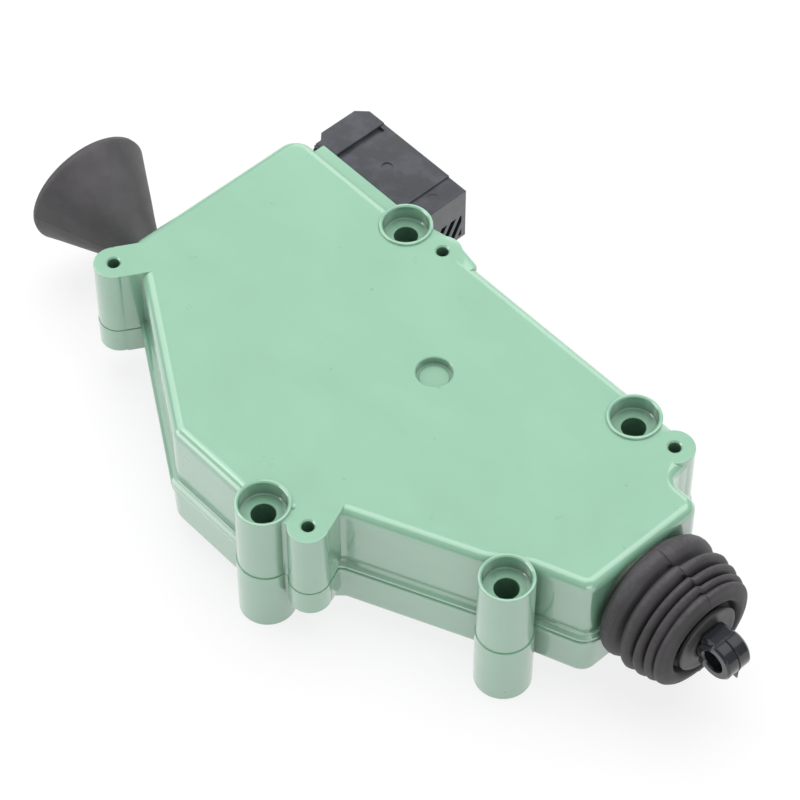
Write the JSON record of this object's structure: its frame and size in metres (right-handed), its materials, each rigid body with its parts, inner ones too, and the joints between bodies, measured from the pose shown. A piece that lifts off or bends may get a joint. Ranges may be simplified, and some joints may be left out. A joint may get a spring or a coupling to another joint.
{
  "type": "door latch actuator",
  "caption": "Sealed electric door latch actuator with mounting bosses, a push rod under rubber bellows, a plug socket and a rubber vent funnel.",
  "frame": {"origin": "on the axis of the front mounting hole, in the plane of the mounting feet", "axes": "+X along the push rod, out of the housing; +Y out of the connector's mouth; +Z from the feet to the top face"},
  "size_m": [0.2342, 0.1206, 0.0464],
  "materials": {
    "green_plastic": "moulded housing plastic, pale green with a soft sheen",
    "black_rubber": "matt moulded rubber",
    "zinc_steel": "zinc-plated steel",
    "bright_steel": "ground steel",
    "black_plastic": "glass-filled black plastic",
    "gloss_black": "smooth black plastic with a moulding seam",
    "grey_plastic": "light grey plastic",
    "white_plastic": "natural acetal",
    "tinned_brass": "tinned brass strip",
    "bronze": "sintered bronze",
    "copper": "bare copper",
    "board": "glass-fibre board with a solder mask",
    "ceramic": "lacquered ceramic disc",
    "film_box": "film capacitor in its box",
    "magnet": "sintered ferrite",
    "lamination": "stacked steel laminations",
    "enamelled_copper": "enamelled copper wire",
    "carbon": "graphite brush"
  },
  "bodies": {
    "housing": {"upper_shell": "green_plastic", "lower_shell": "green_plastic", "shell_seal": "black_rubber", "case_screws": "zinc_steel", "connector_housing": "black_plastic", "connector_seal": "black_rubber", "connector_pins": "tinned_brass", "circuit_board": "board", "contact_tracks": "copper", "thermistor": "ceramic", "suppressor_capacitor": "film_box", "motor_can": "zinc_steel", "motor_magnets": "magnet", "motor_end_cap": "white_plastic", "motor_terminals": "tinned_brass", "motor_brushes": "carbon", "brush_springs": "tinned_brass", "front_bush": "bronze", "rear_bush": "bronze", "motor_ring": "black_rubber", "middle_axle": "bright_steel", "output_axle": "bright_steel", "axle_washers": "bright_steel", "rod_guide": "white_plastic", "bellows": "black_rubber", "stop_buffers": "black_rubber", "vent_funnel": "black_rubber"},
    "rod": {"slider": "white_plastic", "contact_wiper": "bronze", "push_rod": "bright_steel", "rod_pin": "bright_steel", "rod_collar": "grey_plastic", "rod_eye": "gloss_black"},
    "rotor": {"motor_shaft": "bright_steel", "motor_pinion": "bronze", "armature_core": "lamination", "armature_windings": "enamelled_copper", "commutator": "copper"},
    "middle_wheel": {"middle_gear": "white_plastic"},
    "output_wheel": {"output_gear": "white_plastic"}
  },
  "joints": [
    {"name": "rotor_spin", "type": "hinge", "parent": "housing", "child": "rotor", "pos_m": [-0.03735, 0.02442, 0.0269], "axis": [0, 0, -1], "range_deg": [0, 2063]},
    {"name": "middle_wheel_spin", "type": "hinge", "parent": "housing", "child": "middle_wheel", "pos_m": [-0.01769, 0.03818, 0.0134], "axis": [0, 0, 1], "range_deg": [0, 412.6]},
    {"name": "output_wheel_spin", "type": "hinge", "parent": "housing", "child": "output_wheel", "pos_m": [-0.0022, 0.0603, 0.0269], "axis": [0, 0, -1], "range_deg": [0, 118]},
    {"name": "rod_slide", "type": "slide", "parent": "housing", "child": "rod", "axis": [1, 0, 0], "range_m": [0, 0.018], "deforming": ["bellows"]}
  ],
  "couplings": [
    {"joint": "rotor_spin", "follows": "rod_slide", "rad_per_m": 2000},
    {"joint": "middle_wheel_spin", "follows": "rod_slide", "rad_per_m": 400},
    {"joint": "output_wheel_spin", "follows": "rod_slide", "rad_per_m": 114.29}
  ]
}
